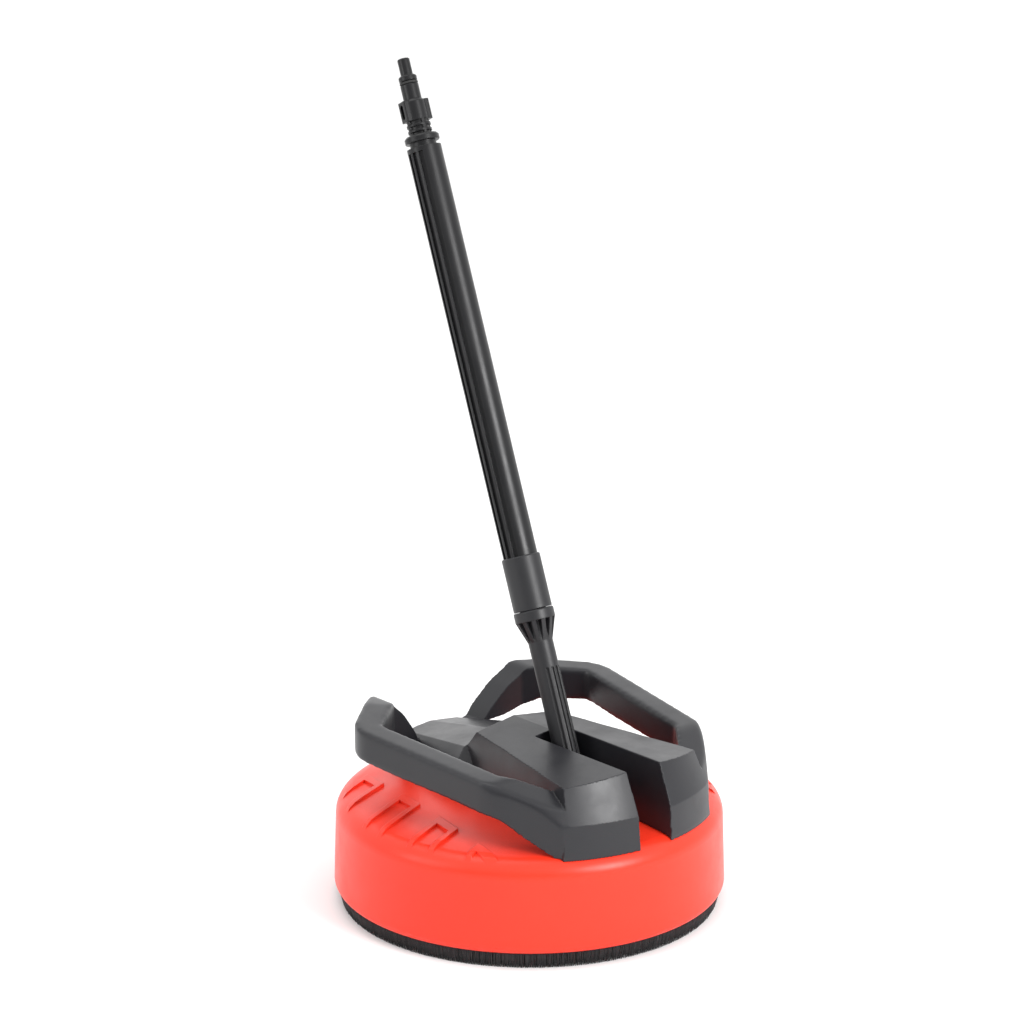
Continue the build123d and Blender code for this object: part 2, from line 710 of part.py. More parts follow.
with BuildPart() as seal_backup_ring:
    add(disc_ring(SEAL_R - 0.05, SHAFT_R + 0.4, SEAL_TOP_Z - 7.5, SEAL_TOP_Z - 5.1))
seal_backup_ring.part.label = "seal_backup_ring"
export_step(seal_backup_ring.part, "parts/seal_backup_ring.step")

with BuildPart() as bearing_retainer:
    add(disc_ring(HOUSING_R, RETAINER_BORE_R, RETAINER_Z - 3, RETAINER_Z))
    add(disc_ring(BEARING_OUT_R - 0.1, RETAINER_BORE_R, RETAINER_Z, BEARING_Z[0]))
    add(pins(RETAINER_SCREWS, RETAINER_SCREW_R + 0.2, RETAINER_Z - 4, RETAINER_Z + 1), mode=Mode.SUBTRACT)
bearing_retainer.part.label = "bearing_retainer"
export_step(bearing_retainer.part, "parts/bearing_retainer.step")

with BuildPart() as retainer_screws:
    add(screws_up(RETAINER_SCREWS, RETAINER_Z - 3, RETAINER_SCREW_R, 9))
retainer_screws.part.label = "retainer_screws"
export_step(retainer_screws.part, "parts/retainer_screws.step")

# ---------------------------------------------------------------- bearings
spacer_z = (BEARING_Z[0] + BEARING_H, BEARING_Z[1])

with BuildPart() as outer_spacer:
    add(disc_ring(BEARING_OUT_R - 0.1, 12.0, *spacer_z))
outer_spacer.part.label = "outer_spacer"
export_step(outer_spacer.part, "parts/outer_spacer.step")

with BuildPart() as inner_spacer:
    add(disc_ring(7.8, SHAFT_R + 0.02, *spacer_z))
inner_spacer.part.label = "inner_spacer"
export_step(inner_spacer.part, "parts/inner_spacer.step")

for level, low_z in zip(("lower", "upper"), BEARING_Z):
    middle = low_z + BEARING_H / 2
    with BuildPart() as ball_track:
        with BuildSketch(Plane.XZ):
            with Locations((BALL_PITCH_R, middle)):
                Circle(BALL_R + 0.12)
        revolve(axis=Axis.Z)
    with BuildPart() as bearing_outer:
        add(disc_ring(BEARING_OUT_R, 11.6, low_z, low_z + BEARING_H))
        add(ball_track.part, mode=Mode.SUBTRACT)
    bearing_outer.part.label = f"bearing_outer_{level}"
    export_step(bearing_outer.part, f"parts/bearing_outer_{level}.step")
    with BuildPart() as bearing_inner:
        add(disc_ring(8.4, SHAFT_R + 0.01, low_z, low_z + BEARING_H))
        add(ball_track.part, mode=Mode.SUBTRACT)
    bearing_inner.part.label = f"bearing_inner_{level}"
    export_step(bearing_inner.part, f"parts/bearing_inner_{level}.step")

with BuildPart() as bearing_balls:
    for low_z in BEARING_Z:
        with Locations((0, 0, low_z + BEARING_H / 2)):
            with PolarLocations(BALL_PITCH_R, BALL_COUNT):
                Sphere(BALL_R)
bearing_balls.part.label = "bearing_balls"
export_step(bearing_balls.part, "parts/bearing_balls.step")

with BuildPart() as bearing_cages:
    for low_z in BEARING_Z:
        middle = low_z + BEARING_H / 2
        add(disc_ring(10.8, 9.2, middle - 3.2, middle + 3.2))
        for k in range(BALL_COUNT):
            pocket = cross_rod(7, 13, BALL_R + 0.1, y=0, z=middle)
            add(pocket.rotate(Axis.Z, k * 360 / BALL_COUNT), mode=Mode.SUBTRACT)
bearing_cages.part.label = "bearing_cages"
export_step(bearing_cages.part, "parts/bearing_cages.step")

# ---------------------------------------------------------------- rotor
with BuildPart() as rotor_shaft:
    add(disc_ring(SHAFT_R, 0, HUB_Z, SHAFT_TOP_Z))
    add(disc_ring(7.6, 0, HUB_Z + HUB_H, BEARING_Z[0]))
    add(disc_ring(HUB_STUD_R, 0, HUB_NUT_Z - 1, HUB_Z))
    chamfer(rotor_shaft.edges().group_by(Axis.Z)[-1], 0.6)
    chamfer(rotor_shaft.edges().group_by(Axis.Z)[0], 0.8)
    add(disc_ring(WATERWAY_R, 0, ARM_Z - 1, SHAFT_TOP_Z + 1), mode=Mode.SUBTRACT)
    add(cross_rod(-SHAFT_R - 1, SHAFT_R + 1, ARM_BORE_R, y=0, z=ARM_Z), mode=Mode.SUBTRACT)
    add(disc_ring(SHAFT_R + 1, CLIP_IN_R, CLIP_Z, CLIP_Z + CLIP_H + 0.1), mode=Mode.SUBTRACT)
rotor_shaft.part.label = "rotor_shaft"
export_step(rotor_shaft.part, "parts/rotor_shaft.step")

with BuildPart() as circlip:
    add(disc_ring(8.0, CLIP_IN_R + 0.02, CLIP_Z + 0.05, CLIP_Z + 0.05 + CLIP_H))
    with BuildSketch(Plane.XY.offset(CLIP_Z)):
        with Locations((0, 7)):
            Rectangle(5, 8)
    extrude(amount=2 * CLIP_H, mode=Mode.SUBTRACT)
circlip.part.label = "circlip"
export_step(circlip.part, "parts/circlip.step")

with BuildPart() as rotor_hub:
    add(disc_ring(HUB_R, SHAFT_R + 0.02, HUB_Z, HUB_Z + HUB_H))
    chamfer(rotor_hub.edges().filter_by_position(Axis.Z, HUB_Z, HUB_Z).sort_by(SortBy.LENGTH)[-1], 1.5)
    add(cross_rod(-HUB_R - 1, HUB_R + 1, ARM_R + 0.02, y=0, z=ARM_Z), mode=Mode.SUBTRACT)
rotor_hub.part.label = "rotor_hub"
export_step(rotor_hub.part, "parts/rotor_hub.step")

with BuildPart() as hub_nut:
    with BuildSketch(Plane.XY.offset(HUB_NUT_Z)):
        RegularPolygon(9.2, 6)
        Circle(HUB_STUD_R + 0.02, mode=Mode.SUBTRACT)
    extrude(amount=HUB_Z - HUB_NUT_Z)
hub_nut.part.label = "hub_nut"
export_step(hub_nut.part, "parts/hub_nut.step")

with BuildPart() as spray_arm:
    add(cross_rod(SHAFT_R + 0.5, ARM_END_X, ARM_R, y=0, z=ARM_Z))
    add(cross_rod(SHAFT_R, ARM_END_X + 1, ARM_BORE_R, y=0, z=ARM_Z), mode=Mode.SUBTRACT)

tilt = math.radians(NOZZLE_TILT)
jet = Plane(origin=(NOZZLE_X, 0, ARM_Z), x_dir=(1, 0, 0), z_dir=(0, math.sin(tilt), -math.cos(tilt)))

with BuildPart() as nozzle_body:
    add(cross_rod(ARM_END_X - 14, NOZZLE_X + 5, 7.5, y=0, z=ARM_Z))
    chamfer(nozzle_body.edges().group_by(Axis.X)[-1], 1.5)
    add(rod(jet, 6.2, 13.0))
    add(cross_rod(ARM_END_X - 15, ARM_END_X + 0.1, ARM_R + 0.02, y=0, z=ARM_Z), mode=Mode.SUBTRACT)
    add(rod(jet, 1.5, 14), mode=Mode.SUBTRACT)
    add(rod(jet.offset(8), 4.02, 6), mode=Mode.SUBTRACT)

with BuildPart() as nozzle_tip:
    add(rod(jet.offset(8), 4.0, 5))
    add(rod(jet.offset(13), 5.0, 2.5))
    add(rod(jet.offset(7), 1.2, 6.5), mode=Mode.SUBTRACT)
    add(rod(jet.offset(12), 0.5, 5), mode=Mode.SUBTRACT)

rotor_ends = {"spray_arm": spray_arm, "nozzle_body": nozzle_body, "nozzle_tip": nozzle_tip}
for piece, right_end in rotor_ends.items():
    for side, turn in (("right", 0), ("left", 180)):
        with BuildPart() as rotor_end:
            add(right_end.part.rotate(Axis.Z, turn))
        rotor_end.part.label = f"{piece}_{side}"
        export_step(rotor_end.part, f"parts/{piece}_{side}.step")


# ---------------------------------------------------------------- lower lance
def turned(points):
    """Solid turned about the lance's axis from (radius, station) corners."""
    with BuildPart() as solid:
        revolve(outline(points, LANCE_SECTION), axis=LANCE_AXIS)
    return solid.part


def sleeve(outer_r, inner_r, start, end):
    """Plain tube about the lance's axis."""
    return turned([(inner_r, start), (outer_r, start), (outer_r, end), (inner_r, end)])


def lance_bar(width, radius_low, radius_high, start, end, angle):
    """Straight bar that stands out from the lance's axis at the given angle."""
    with BuildPart() as bar:
        with BuildSketch(LANCE.offset(start)):
            with Locations(((radius_low + radius_high) / 2, 0)):
                Rectangle(radius_high - radius_low, width)
        extrude(amount=end - start)
    return bar.part.rotate(LANCE_AXIS, angle)


def lance_o_ring(minor_r, ring_r, station):
    """O-ring about the lance's axis."""
    with BuildPart() as ring:
        with BuildSketch(LANCE_SECTION):
            with Locations((ring_r, station)):
                Circle(minor_r)
        revolve(axis=LANCE_AXIS)
    return ring.part


pipe_outline = [
    (0, 0),
    (PIPE_R, 0),
    (PIPE_R, CONE_END_S),
    (FLANGE_R, CONE_END_S),
    (FLANGE_R, FLANGE_END_S - 0.8),
    (FLANGE_R - 0.8, FLANGE_END_S),
    (PLUG_END_R, FLANGE_END_S),
    (PLUG_END_R, PLUG_END_S),
    (SPIGOT_R, PLUG_END_S),
    (SPIGOT_R, SPIGOT_END_S - 0.8),
    (SPIGOT_R - 0.8, SPIGOT_END_S),
    (0, SPIGOT_END_S),
]
gusset = [(8, 106.4), (PIPE_R, 108), (FLANGE_R - 0.2, CONE_END_S + 0.4), (8, CONE_END_S + 0.4)]

with BuildPart() as gusset_fin:
    extrude(outline(gusset, LANCE_SECTION), amount=1.6, both=True)

with BuildPart() as lower_pipe:
    add(turned(pipe_outline))
    for k in range(GUSSET_COUNT):
        add(gusset_fin.part.rotate(LANCE_AXIS, 15 + k * 360 / GUSSET_COUNT))
    add(cross_rod(-KNUCKLE_HALF_W, KNUCKLE_HALF_W, KNUCKLE_R))
    for base in (90, 270):
        for angle in FLUTE_ANGLES:
            add(lance_bar(2.0, PIPE_R - 1.4, PIPE_R + 2, 20, 88, base + angle), mode=Mode.SUBTRACT)
    for base in (0, 180):
        lug = lance_bar(LUG_W, 6, 14, LUG_S[0], LUG_S[1], base)
        with BuildPart(mode=Mode.PRIVATE) as lug_end:
            add(lug)
            add(sleeve(LUG_R, PLUG_END_R - 1, *LUG_S), mode=Mode.INTERSECT)
        add(lug_end.part)
    for station in SPIGOT_RING_S:
        add(sleeve(SPIGOT_R + 1, RING_FLOOR_R, station - 1.1, station + 1.1), mode=Mode.SUBTRACT)
    add(rod(LANCE, WATERWAY_R, SPIGOT_END_S + 1), mode=Mode.SUBTRACT)
    for x_low, x_high in ((-KNUCKLE_HALF_W - 1, -STUD_IN_X), (STUD_IN_X, KNUCKLE_HALF_W + 1)):
        add(cross_rod(x_low, x_high, STUD_R + 0.03), mode=Mode.SUBTRACT)
    add(cross_rod(-STUD_IN_X - 1, 0, TRUNNION_BORE_R), mode=Mode.SUBTRACT)
lower_pipe.part.label = "lower_pipe"
export_step(lower_pipe.part, "parts/lower_pipe.step")

with BuildPart() as spigot_orings:
    for station in SPIGOT_RING_S:
        add(lance_o_ring(0.93, RING_FLOOR_R + 0.95, station))
spigot_orings.part.label = "spigot_orings"
export_step(spigot_orings.part, "parts/spigot_orings.step")

with BuildPart() as trunnion_right:
    add(cross_rod(STUD_IN_X + 0.5, KNUCKLE_HALF_W, STUD_R))
    add(cross_rod(KNUCKLE_HALF_W + 0.02, FORK_OUT_X + 0.3, TRUNNION_R))
    add(cross_rod(KNUCKLE_HALF_W, KNUCKLE_HALF_W + 0.05, STUD_R))
    with BuildSketch(Plane.YZ.offset(FORK_OUT_X + 0.3)):
        with Locations((PIVOT_Y, PIVOT_Z)):
            RegularPolygon(9.5, 6)
    extrude(amount=4)
trunnion_right.part.label = "trunnion_right"
export_step(trunnion_right.part, "parts/trunnion_right.step")

with BuildPart() as trunnion_left:
    mirror(trunnion_right.part, about=Plane.YZ)
    add(cross_rod(PASSAGE_X - 2, 0, TRUNNION_BORE_R), mode=Mode.SUBTRACT)
    for turn in (0, 90):
        port = rod(Plane(origin=(PASSAGE_X, PIVOT_Y, PIVOT_Z - 10)), 1.3, 20)
        add(port.rotate(Axis((0, PIVOT_Y, PIVOT_Z), (1, 0, 0)), turn), mode=Mode.SUBTRACT)
    for x in TRUNNION_RING_X:
        with BuildPart(mode=Mode.PRIVATE) as groove:
            add(cross_rod(x - 0.95, x + 0.95, TRUNNION_R + 1))
            add(cross_rod(x - 1, x + 1, 5.4), mode=Mode.SUBTRACT)
        add(groove.part, mode=Mode.SUBTRACT)
trunnion_left.part.label = "trunnion_left"
export_step(trunnion_left.part, "parts/trunnion_left.step")

with BuildPart() as trunnion_orings:
    for x in TRUNNION_RING_X:
        with BuildSketch(Plane(origin=(x, PIVOT_Y, PIVOT_Z), x_dir=(1, 0, 0), z_dir=(0, -1, 0))):
            with Locations((0, 6.2)):
                Circle(0.77)
    revolve(axis=Axis((0, PIVOT_Y, PIVOT_Z), (1, 0, 0)))
trunnion_orings.part.label = "trunnion_orings"
export_step(trunnion_orings.part, "parts/trunnion_orings.step")

# ---------------------------------------------------------------- upper lance
collar_outline = [
    (PLUG_END_R + 0.3, FLANGE_END_S + 0.3),
    (COLLAR_R - 0.4, FLANGE_END_S + 0.3),
    (COLLAR_R, FLANGE_END_S + 0.7),
    (COLLAR_R, COLLAR_END_S - 0.8),
    (COLLAR_R - 0.8, COLLAR_END_S),
    (TUBE_R + 0.03, COLLAR_END_S),
    (TUBE_R + 0.03, TUBE_START_S - 0.2),
    (PLUG_END_R + 0.3, TUBE_START_S - 0.2),
]

with BuildPart() as coupling_collar:
    add(turned(collar_outline))
    add(sleeve(LUG_R + 0.3, PLUG_END_R, LUG_S[0] - 0.5, LUG_S[1] + 0.5), mode=Mode.SUBTRACT)
    for base in (TWIST_DEG, 180 + TWIST_DEG):
        with BuildPart(mode=Mode.PRIVATE) as entry:
            add(lance_bar(LUG_W + 1, 6, 14, FLANGE_END_S, LUG_S[0], base))
            add(rod(LANCE.offset(FLANGE_END_S - 1), LUG_R + 0.3, 20), mode=Mode.INTERSECT)
        add(entry.part, mode=Mode.SUBTRACT)
coupling_collar.part.label = "coupling_collar"
export_step(coupling_collar.part, "parts/coupling_collar.step")

with BuildPart() as lance_tube:
    add(sleeve(TUBE_R, TUBE_BORE_R, TUBE_START_S, TUBE_END_S))
    fillet(lance_tube.edges().sort_by(Axis(PIVOT, LANCE_DIR))[-1:], 1.5)
    for base in (0, 180):
        for angle in FLUTE_ANGLES:
            flute = lance_bar(FLUTE_W, TUBE_R - FLUTE_DEPTH, TUBE_R + 2, FLUTE_S[0], FLUTE_S[1], base + angle)
            add(flute, mode=Mode.SUBTRACT)
lance_tube.part.label = "lance_tube"
export_step(lance_tube.part, "parts/lance_tube.step")

inner_outline = [
    (SPIGOT_R + RUN_FIT, PLUG_END_S + 1),
    (TUBE_BORE_R - 0.3, PLUG_END_S + 1),
    (TUBE_BORE_R - 0.3, SPIGOT_END_S + 2),
    (INNER_R, SPIGOT_END_S + 6),
    (INNER_R, INNER_END_S),
    (INNER_BORE_R, INNER_END_S),
    (INNER_BORE_R, SPIGOT_END_S + 2),
    (SPIGOT_R + RUN_FIT, SPIGOT_END_S + 1),
]
with BuildPart() as inner_pipe:
    add(turned(inner_outline))
inner_pipe.part.label = "inner_pipe"
export_step(inner_pipe.part, "parts/inner_pipe.step")

inlet_outline = [
    (0, 464),
    (TUBE_BORE_R - 0.1, 464),
    (TUBE_BORE_R - 0.1, TUBE_END_S + 0.2),
    (9.8, TUBE_END_S + 0.2),
    (9.8, 481),
    (12.4, 481),
    (12.8, 481.6),
    (12.8, 484.6),
    (11.6, 486),
    (7.0, 486),
    (7.0, LUG_BLOCK_S[0]),
    (8.4, LUG_BLOCK_S[0]),
    (8.4, LUG_BLOCK_S[1] - 1),
    (BARREL_R + 0.6, LUG_BLOCK_S[1] + 0.4),
    (BARREL_R, LUG_BLOCK_S[1] + 0.4),
    (BARREL_R, INLET_RING_S - 1.5),
    (INLET_RING_FLOOR_R, INLET_RING_S - 1.5),
    (INLET_RING_FLOOR_R, INLET_RING_S + 1.5),
    (BARREL_R, INLET_RING_S + 1.5),
    (BARREL_R, BARREL_END_S - 1),
    (BARREL_R - 1, BARREL_END_S),
    (TIP_R, BARREL_END_S),
    (TIP_R, TIP_END_S - 0.6),
    (TIP_R - 0.6, TIP_END_S),
    (0, TIP_END_S),
]
with BuildPart() as inlet_lugs:
    with BuildSketch(LANCE.offset(LUG_BLOCK_S[0])):
        RectangleRounded(LUG_SPAN, LUG_THICK, 1.2)
    extrude(amount=LUG_BLOCK_S[1] - LUG_BLOCK_S[0])
    for end in (1, -1):
        face = Plane(
            origin=LANCE.from_local_coords((end * LUG_SPAN / 2, 0, sum(LUG_BLOCK_S) / 2)),
            x_dir=LANCE_DIR,
            z_dir=(-end, 0, 0),
        )
        with BuildSketch(face):
            SlotOverall(11.0, 4.2)
        extrude(amount=2.2, mode=Mode.SUBTRACT)

with BuildPart() as inlet_connector:
    add(turned(inlet_outline))
    add(sleeve(8.9, 6, 488.4, 490.2))
    add(sleeve(8.9, 6, 492.6, 494.4))
    for angle in (0, 90, 180, 270):
        add(lance_bar(2.4, 5, 8.6, 486, LUG_BLOCK_S[0], LUG_TURN + angle))
    add(inlet_lugs.part.rotate(LANCE_AXIS, LUG_TURN))
    add(rod(LANCE.offset(463), INLET_BORE_R, 90), mode=Mode.SUBTRACT)
    add(rod(LANCE.offset(463), INNER_R + 0.02, INNER_END_S - 463), mode=Mode.SUBTRACT)
inlet_connector.part.label = "inlet_connector"
export_step(inlet_connector.part, "parts/inlet_connector.step")

with BuildPart() as inlet_oring:
    add(lance_o_ring(1.05, INLET_RING_FLOOR_R + 1.07, INLET_RING_S))
inlet_oring.part.label = "inlet_oring"
export_step(inlet_oring.part, "parts/inlet_oring.step")
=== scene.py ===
"""Surface cleaner: materials, softened mouldings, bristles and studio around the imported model."""
import json
import math
import random

import bmesh
import bpy
import numpy as np
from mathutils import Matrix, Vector


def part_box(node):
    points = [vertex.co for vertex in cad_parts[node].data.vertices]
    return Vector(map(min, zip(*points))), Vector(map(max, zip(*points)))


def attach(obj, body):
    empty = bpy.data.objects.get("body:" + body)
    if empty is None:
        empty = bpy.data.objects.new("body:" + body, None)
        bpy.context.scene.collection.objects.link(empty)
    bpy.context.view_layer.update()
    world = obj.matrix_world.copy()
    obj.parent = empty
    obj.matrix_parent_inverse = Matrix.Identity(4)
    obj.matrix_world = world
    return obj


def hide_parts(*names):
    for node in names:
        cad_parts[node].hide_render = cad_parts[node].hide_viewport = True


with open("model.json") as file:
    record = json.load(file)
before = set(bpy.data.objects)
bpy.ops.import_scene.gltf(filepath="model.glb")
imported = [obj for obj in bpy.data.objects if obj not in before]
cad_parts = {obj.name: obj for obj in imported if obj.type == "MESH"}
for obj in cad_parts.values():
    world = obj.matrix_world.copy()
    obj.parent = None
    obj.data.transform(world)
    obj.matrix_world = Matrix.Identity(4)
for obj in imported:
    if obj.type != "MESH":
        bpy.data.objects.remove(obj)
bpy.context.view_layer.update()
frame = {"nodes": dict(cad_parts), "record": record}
NODES = frame["nodes"]
MM = 0.001

# ---------------------------------------------------------------- camera and floor
AIM = Vector((0.0357, 0.0622, 0.2737))
AZIMUTH = math.radians(-40.19)
ELEVATION = math.radians(14.46)
CAMERA_DISTANCE = 2.0
LENS_MM = 94.16
SENSOR_MM = 36.0
FLOOR_HALF = 30.0
FLOOR_TONES = ((0.93, 0.93, 0.93), (0.95, 0.95, 0.95))

# ---------------------------------------------------------------- colours, linear RGB
RED = (0.90, 0.036, 0.014)
COVER_GREY = (0.016, 0.016, 0.019)
INSERT_GREY = (0.018, 0.018, 0.020)
LANCE_BLACK = (0.006, 0.006, 0.007)
SATIN_BLACK = (0.012, 0.012, 0.014)
CARRIER_BLACK = (0.018, 0.018, 0.018)
BRISTLE_BLACK = (0.015, 0.014, 0.015)
NYLON_BLACK = (0.016, 0.016, 0.017)
RUBBER_BLACK = (0.010, 0.010, 0.010)
STEEL = (0.56, 0.57, 0.59)
POLISHED_STEEL = (0.70, 0.71, 0.72)
BRASS = (0.72, 0.48, 0.18)


# ---------------------------------------------------------------- node helpers
MIX_FIRST_COLOUR = 6
MIX_SECOND_COLOUR = 7
MIX_COLOUR_OUT = 2
BEVEL_SAMPLES = 4


class Tree:
    """A material with one Principled shader, and helpers that add nodes to it."""

    def __init__(self, name):
        self.material = bpy.data.materials.new(name)
        self.material.use_nodes = True
        self.nodes = self.material.node_tree.nodes
        self.links = self.material.node_tree.links
        self.nodes.clear()
        self.output = self.nodes.new("ShaderNodeOutputMaterial")
        self.shader = self.nodes.new("ShaderNodeBsdfPrincipled")
        self.links.new(self.shader.outputs["BSDF"], self.output.inputs["Surface"])
        self.place = self.nodes.new("ShaderNodeTexCoord").outputs["Object"]

    def stretched(self, scale):
        """Object coordinates, scaled along each axis."""
        node = self.nodes.new("ShaderNodeMapping")
        node.inputs["Scale"].default_value = scale
        self.links.new(self.place, node.inputs["Vector"])
        return node.outputs["Vector"]

    def noise(self, scale, detail=3.0, roughness=0.5, vector=None):
        """Noise factor with that many cells a metre."""
        node = self.nodes.new("ShaderNodeTexNoise")
        node.inputs["Scale"].default_value = scale
        node.inputs["Detail"].default_value = detail
        node.inputs["Roughness"].default_value = roughness
        self.links.new(vector or self.place, node.inputs["Vector"])
        return node.outputs["Fac"]

    def spread(self, factor, low, high, start=0.3, end=0.7):
        """Factor mapped from start..end to low..high."""
        node = self.nodes.new("ShaderNodeMapRange")
        node.inputs["From Min"].default_value = start
        node.inputs["From Max"].default_value = end
        node.inputs["To Min"].default_value = low
        node.inputs["To Max"].default_value = high
        self.links.new(factor, node.inputs["Value"])
        return node.outputs["Result"]

    def blend(self, factor, first, second):
        """Colour between two colours or colour sockets."""
        node = self.nodes.new("ShaderNodeMix")
        node.data_type = "RGBA"
        self.links.new(factor, node.inputs["Factor"])
        for place, value in ((MIX_FIRST_COLOUR, first), (MIX_SECOND_COLOUR, second)):
            if isinstance(value, tuple):
                node.inputs[place].default_value = (*value, 1.0)
            else:
                self.links.new(value, node.inputs[place])
        return node.outputs[MIX_COLOUR_OUT]

    def bump(self, height, strength, distance, below=None):
        """Normal from a height, over another normal if one is given."""
        node = self.nodes.new("ShaderNodeBump")
        node.inputs["Strength"].default_value = strength
        node.inputs["Distance"].default_value = distance
        self.links.new(height, node.inputs["Height"])
        if below is not None:
            self.links.new(below, node.inputs["Normal"])
        return node.outputs["Normal"]

    def rounded(self, radius):
        """Normal that rounds sharp edges off by a radius."""
        node = self.nodes.new("ShaderNodeBevel")
        node.samples = BEVEL_SAMPLES
        node.inputs["Radius"].default_value = radius
        return node.outputs["Normal"]

    def edge_mask(self):
        """Near 1 on convex edges of a dense mesh, 0 elsewhere."""
        node = self.nodes.new("ShaderNodeNewGeometry")
        return self.spread(node.outputs["Pointiness"], 0.0, 1.0, start=0.515, end=0.57)

    def finished(self, colour, roughness, normal, specular=0.5):
        """The material, with its shader fed by those three sockets."""
        self.links.new(colour, self.shader.inputs["Base Color"])
        self.links.new(roughness, self.shader.inputs["Roughness"])
        self.links.new(normal, self.shader.inputs["Normal"])
        self.shader.inputs["Specular IOR Level"].default_value = specular
        return self.material


def tinted(colour, factor):
    """Colour made lighter or darker."""
    return tuple(min(1.0, c * factor) for c in colour)


def moulded(name, colour, roughness, grain=1400, grain_depth=0.00003, edge_wear_and_highlight=0.0, specular=0.5):
    """Injection-moulded plastic: fine eroded grain, faint flow marks, uneven gloss, and convex edges
    lightened partly as wear and partly as a painted highlight.
    """
    tree = Tree(name)
    flow = tree.noise(9, detail=4, roughness=0.6)
    fine = tree.noise(grain, detail=2, roughness=0.6)
    handled = tree.noise(38, detail=5, roughness=0.65)
    body = tree.blend(tree.spread(flow, 0, 1), tinted(colour, 0.93), tinted(colour, 1.06))
    body = tree.blend(tree.spread(fine, 0, 0.5), body, tinted(colour, 0.86))
    # Convex edges lightened: partly edge wear, partly a painted highlight standing in for the light that
    # rounded edges catch.
    if edge_wear_and_highlight > 0:
        worn_and_highlit = tree.blend(tree.spread(handled, 0, edge_wear_and_highlight, 0.35, 0.65), body, tinted(colour, 2.0))
        body = tree.blend(tree.edge_mask(), body, worn_and_highlit)
    gloss = tree.spread(handled, roughness - 0.05, roughness + 0.07)
    sunk = tree.bump(flow, strength=0.15, distance=0.0006, below=tree.rounded(0.0010))
    grained = tree.bump(fine, strength=0.25, distance=grain_depth, below=sunk)
    return tree.finished(body, gloss, grained, specular)


def metal(name, colour, roughness, stretch, depth=0.00002):
    """Machined metal: fine lines along the cut, uneven gloss and light tarnish."""
    tree = Tree(name)
    lines = tree.noise(1.0, detail=4, roughness=0.7, vector=tree.stretched(stretch))
    tarnish = tree.noise(55, detail=5, roughness=0.6)
    body = tree.blend(tree.spread(tarnish, 0, 1), colour, tinted(colour, 0.78))
    body = tree.blend(tree.spread(lines, 0, 0.35), body, tinted(colour, 1.15))
    gloss = tree.spread(tarnish, roughness - 0.06, roughness + 0.1)
    cut = tree.bump(lines, strength=0.5, distance=depth, below=tree.rounded(0.0002))
    tree.shader.inputs["Metallic"].default_value = 1.0
    return tree.finished(body, gloss, cut)


def rubber(name, colour):
    """Matt moulded rubber with a pale bloom in patches."""
    tree = Tree(name)
    bloom = tree.noise(140, detail=5, roughness=0.7)
    fine = tree.noise(2600, detail=2, roughness=0.6)
    body = tree.blend(tree.spread(bloom, 0, 1), colour, tinted(colour, 1.9))
    gloss = tree.spread(bloom, 0.55, 0.75)
    return tree.finished(body, gloss, tree.bump(fine, strength=0.6, distance=0.00002))


def bristle_nylon(name, colour):
    """Drawn nylon: each strand has its own shade, with pale streaks along it."""
    tree = Tree(name)
    shade = tree.nodes.new("ShaderNodeAttribute")
    shade.attribute_name = "shade"
    streak = tree.noise(1.0, detail=3, roughness=0.6, vector=tree.stretched((900, 900, 160)))
    body = tree.blend(shade.outputs["Fac"], tinted(colour, 0.6), tinted(colour, 2.6))
    body = tree.blend(tree.spread(streak, 0, 0.5), body, tinted(colour, 1.6))
    gloss = tree.spread(streak, 0.36, 0.52)
    return tree.finished(body, gloss, tree.bump(streak, strength=0.4, distance=0.00003))


FINISHES = {
    "hood_red": moulded("hood_red", RED, 0.335, grain=700, grain_depth=0.000012, specular=0.34),
    # The cover's lightened edges are partly wear and partly a painted highlight.
    "cover_grey": moulded("cover_grey", COVER_GREY, 0.335, edge_wear_and_highlight=0.8, specular=0.40),
    "insert_grey": moulded("insert_grey", INSERT_GREY, 0.5),
    "lance_black": moulded("lance_black", LANCE_BLACK, 0.33, grain=1800, grain_depth=0.00001, specular=0.36),
    "lance_satin": moulded("lance_satin", SATIN_BLACK, 0.44, grain=1500, specular=0.45),
    "carrier_black": moulded("carrier_black", CARRIER_BLACK, 0.55),
    "bristle_black": bristle_nylon("bristle_black", BRISTLE_BLACK),
    "manifold_black": moulded("manifold_black", NYLON_BLACK, 0.42, grain=900, grain_depth=0.00004),
    "seal_rubber": rubber("seal_rubber", RUBBER_BLACK),
    "screw_steel": metal("screw_steel", STEEL, 0.34, (300, 300, 2600)),
    "bearing_steel": metal("bearing_steel", POLISHED_STEEL, 0.16, (200, 200, 3000), 0.000006),
    "arm_steel": metal("arm_steel", STEEL, 0.30, (90, 2600, 2600)),
    "brass": metal("brass", BRASS, 0.28, (500, 500, 3200)),
}


def dress(piece, slot_name, finish=None):
    """Gives a piece one finish, its slot's own unless another is named, and forgets the imported ones."""
    piece.data.materials.clear()
    piece.data.materials.append(FINISHES[finish or slot_name])


for entry in frame["record"]["subparts"]:
    dress(NODES[entry["node"]], entry["material_slot"])
for name in ("lower_pipe", "coupling_collar"):
    dress(NODES[name], "lance_black", "lance_satin")


# ---------------------------------------------------------------- softened mouldings
VOXEL = 0.9 * MM
WELD = 1e-6
HUMP_EDGE_X = 66 * MM
LOOP_RAMP_X = 10 * MM
LOOP_LOW_Z = 94 * MM
LOOP_RAMP_Z = 8 * MM
HUMP_SHARE = 0.02
LOOP_MORE_SHARE = 0.48
RELAX_PASSES = 28
COVER_KEPT = 0.33


def linked(name, data):
    """New object in the scene with that mesh, light or camera."""
    item = bpy.data.objects.new(name, data)
    bpy.context.scene.collection.objects.link(item)
    return item


def bake(piece):
    """Turns a piece's modifiers into its mesh."""
    bpy.context.view_layer.update()
    graph = bpy.context.evaluated_depsgraph_get()
    mesh = bpy.data.meshes.new_from_object(piece.evaluated_get(graph))
    piece.modifiers.clear()
    piece.data = mesh
    mesh.name = piece.name


